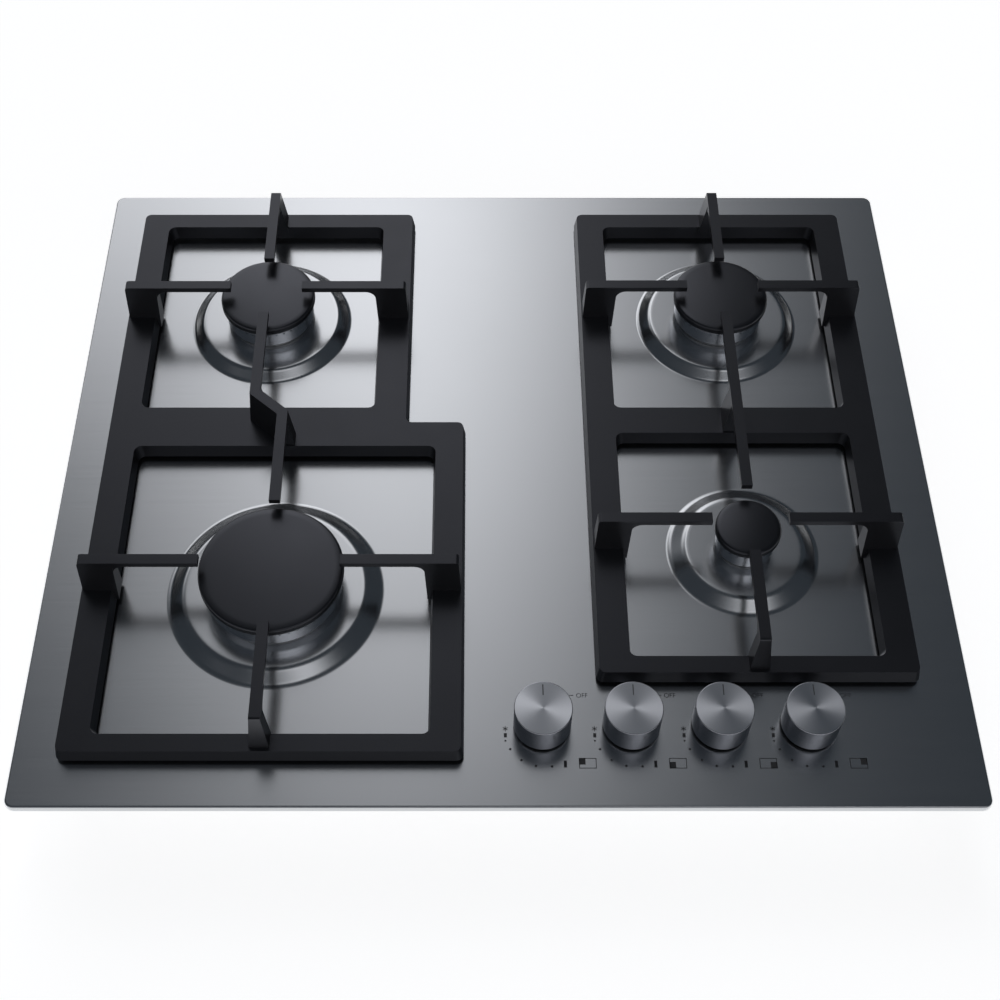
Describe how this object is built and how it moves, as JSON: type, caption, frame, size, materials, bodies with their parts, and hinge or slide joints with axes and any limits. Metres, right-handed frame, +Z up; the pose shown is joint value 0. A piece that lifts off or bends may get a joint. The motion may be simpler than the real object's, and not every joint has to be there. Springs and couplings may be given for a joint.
{
  "type": "gas cooktop",
  "caption": "Built-in gas cooktop with burners of different sizes, lift-off cast-iron pan supports and front knobs that are pushed and turned to set the flame.",
  "frame": {"origin": "under the middle of the panel, at the underside of the tray", "axes": "+X to the right seen from the knobs, +Y to the back, away from the knobs, +Z up"},
  "size_m": [0.58, 0.5, 0.0955],
  "materials": {
    "panel": "stainless steel sheet, brushed from side to side",
    "seal": "matt black sealing strip",
    "tray": "galvanised sheet",
    "iron": "matt charcoal enamel on cast iron",
    "foot": "matt black rubber",
    "cap": "matt black enamel",
    "head": "machined die-cast aluminium",
    "cup": "die-cast aluminium",
    "brass": "turned brass",
    "ceramic": null,
    "knob": "spun satin metal",
    "stem": "turned steel",
    "collar": "black plastic",
    "pipe": "drawn aluminium tube",
    "rail": "zinc-plated steel tube",
    "spark_box": "black plastic",
    "clamp": "zinc-plated steel"
  },
  "bodies": {
    "chassis": {"top_panel": "panel", "panel_seal": "seal", "bottom_tray": "tray", "burner_cup_back_left": "cup", "burner_cup_front_left": "cup", "burner_cup_front_right": "cup", "burner_cup_back_right": "cup", "gas_jet_back_left": "brass", "gas_jet_front_left": "brass", "gas_jet_front_right": "brass", "gas_jet_back_right": "brass", "spark_plug_back_left": "ceramic", "spark_plug_front_left": "ceramic", "spark_plug_front_right": "ceramic", "spark_plug_back_right": "ceramic", "gas_valve_back_left": "brass", "gas_valve_front_left": "brass", "gas_valve_front_right": "brass", "gas_valve_back_right": "brass", "gas_pipe_back_left": "pipe", "gas_pipe_front_left": "pipe", "gas_pipe_front_right": "pipe", "gas_pipe_back_right": "pipe", "gas_rail": "rail", "gas_inlet_union": "brass", "spark_box": "spark_box"},
    "left_support": {"left_pan_support": "iron", "left_support_foot_back_left": "foot", "left_support_foot_back_right": "foot", "left_support_foot_front_left": "foot", "left_support_foot_front_right": "foot"},
    "right_support": {"right_pan_support": "iron", "right_support_foot_back_left": "foot", "right_support_foot_back_right": "foot", "right_support_foot_front_left": "foot", "right_support_foot_front_right": "foot"},
    "head_back_left": {"burner_head_back_left": "head"},
    "cap_back_left": {"burner_cap_back_left": "cap"},
    "head_front_left": {"burner_head_front_left": "head"},
    "cap_front_left": {"burner_cap_front_left": "cap"},
    "head_front_right": {"burner_head_front_right": "head"},
    "cap_front_right": {"burner_cap_front_right": "cap"},
    "head_back_right": {"burner_head_back_right": "head"},
    "cap_back_right": {"burner_cap_back_right": "cap"},
    "collar_back_left": {"press_collar_back_left": "collar"},
    "knob_back_left": {"knob_back_left": "knob", "valve_stem_back_left": "stem"},
    "collar_front_left": {"press_collar_front_left": "collar"},
    "knob_front_left": {"knob_front_left": "knob", "valve_stem_front_left": "stem"},
    "collar_front_right": {"press_collar_front_right": "collar"},
    "knob_front_right": {"knob_front_right": "knob", "valve_stem_front_right": "stem"},
    "collar_back_right": {"press_collar_back_right": "collar"},
    "knob_back_right": {"knob_back_right": "knob", "valve_stem_back_right": "stem"},
    "clamp_back_left": {"worktop_clamp_back_left": "clamp"},
    "clamp_back_right": {"worktop_clamp_back_right": "clamp"},
    "clamp_front_left": {"worktop_clamp_front_left": "clamp"},
    "clamp_front_right": {"worktop_clamp_front_right": "clamp"}
  },
  "joints": [
    {"name": "left_support_lift", "type": "slide", "parent": "chassis", "child": "left_support", "axis": [0, 0, 1], "range_m": [0, 0.15]},
    {"name": "right_support_lift", "type": "slide", "parent": "chassis", "child": "right_support", "axis": [0, 0, 1], "range_m": [0, 0.15]},
    {"name": "head_back_left_lift", "type": "slide", "parent": "chassis", "child": "head_back_left", "axis": [0, 0, 1], "range_m": [0, 0.0025]},
    {"name": "cap_back_left_lift", "type": "slide", "parent": "head_back_left", "child": "cap_back_left", "axis": [0, 0, 1], "range_m": [0, 0.0025]},
    {"name": "head_front_left_lift", "type": "slide", "parent": "chassis", "child": "head_front_left", "axis": [0, 0, 1], "range_m": [0, 0.0025]},
    {"name": "cap_front_left_lift", "type": "slide", "parent": "head_front_left", "child": "cap_front_left", "axis": [0, 0, 1], "range_m": [0, 0.0025]},
    {"name": "head_front_right_lift", "type": "slide", "parent": "chassis", "child": "head_front_right", "axis": [0, 0, 1], "range_m": [0, 0.05]},
    {"name": "cap_front_right_lift", "type": "slide", "parent": "head_front_right", "child": "cap_front_right", "axis": [0, 0, 1], "range_m": [0, 0.06]},
    {"name": "head_back_right_lift", "type": "slide", "parent": "chassis", "child": "head_back_right", "axis": [0, 0, 1], "range_m": [0, 0.0025]},
    {"name": "cap_back_right_lift", "type": "slide", "parent": "head_back_right", "child": "cap_back_right", "axis": [0, 0, 1], "range_m": [0, 0.0025]},
    {"name": "knob_back_left_push", "type": "slide", "parent": "chassis", "child": "collar_back_left", "axis": [0, 0, -1], "range_m": [0, 0.002], "stiffness_N_per_m": 1000, "springref_m": -0.003},
    {"name": "knob_back_left_turn", "type": "hinge", "parent": "collar_back_left", "child": "knob_back_left", "pos_m": [0.0267, -0.197, 0.055], "axis": [0, 0, 1], "range_deg": [0, 210]},
    {"name": "knob_front_left_push", "type": "slide", "parent": "chassis", "child": "collar_front_left", "axis": [0, 0, -1], "range_m": [0, 0.002], "stiffness_N_per_m": 1000, "springref_m": -0.003},
    {"name": "knob_front_left_turn", "type": "hinge", "parent": "collar_front_left", "child": "knob_front_left", "pos_m": [0.0804, -0.197, 0.055], "axis": [0, 0, 1], "range_deg": [0, 210]},
    {"name": "knob_front_right_push", "type": "slide", "parent": "chassis", "child": "collar_front_right", "axis": [0, 0, -1], "range_m": [0, 0.002], "stiffness_N_per_m": 1000, "springref_m": -0.003},
    {"name": "knob_front_right_turn", "type": "hinge", "parent": "collar_front_right", "child": "knob_front_right", "pos_m": [0.1341, -0.197, 0.055], "axis": [0, 0, 1], "range_deg": [0, 210]},
    {"name": "knob_back_right_push", "type": "slide", "parent": "chassis", "child": "collar_back_right", "axis": [0, 0, -1], "range_m": [0, 0.002], "stiffness_N_per_m": 1000, "springref_m": -0.003},
    {"name": "knob_back_right_turn", "type": "hinge", "parent": "collar_back_right", "child": "knob_back_right", "pos_m": [0.1878, -0.197, 0.055], "axis": [0, 0, 1], "range_deg": [0, 210]},
    {"name": "clamp_back_left_swing", "type": "hinge", "parent": "chassis", "child": "clamp_back_left", "pos_m": [-0.254, 0.15, 0], "axis": [0, 0, 1], "range_deg": [0, 90]},
    {"name": "clamp_back_right_swing", "type": "hinge", "parent": "chassis", "child": "clamp_back_right", "pos_m": [0.254, 0.15, 0], "axis": [0, 0, -1], "range_deg": [0, 90]},
    {"name": "clamp_front_left_swing", "type": "hinge", "parent": "chassis", "child": "clamp_front_left", "pos_m": [-0.254, -0.15, 0], "axis": [0, 0, -1], "range_deg": [0, 90]},
    {"name": "clamp_front_right_swing", "type": "hinge", "parent": "chassis", "child": "clamp_front_right", "pos_m": [0.254, -0.15, 0], "axis": [0, 0, 1], "range_deg": [0, 90]}
  ]
}
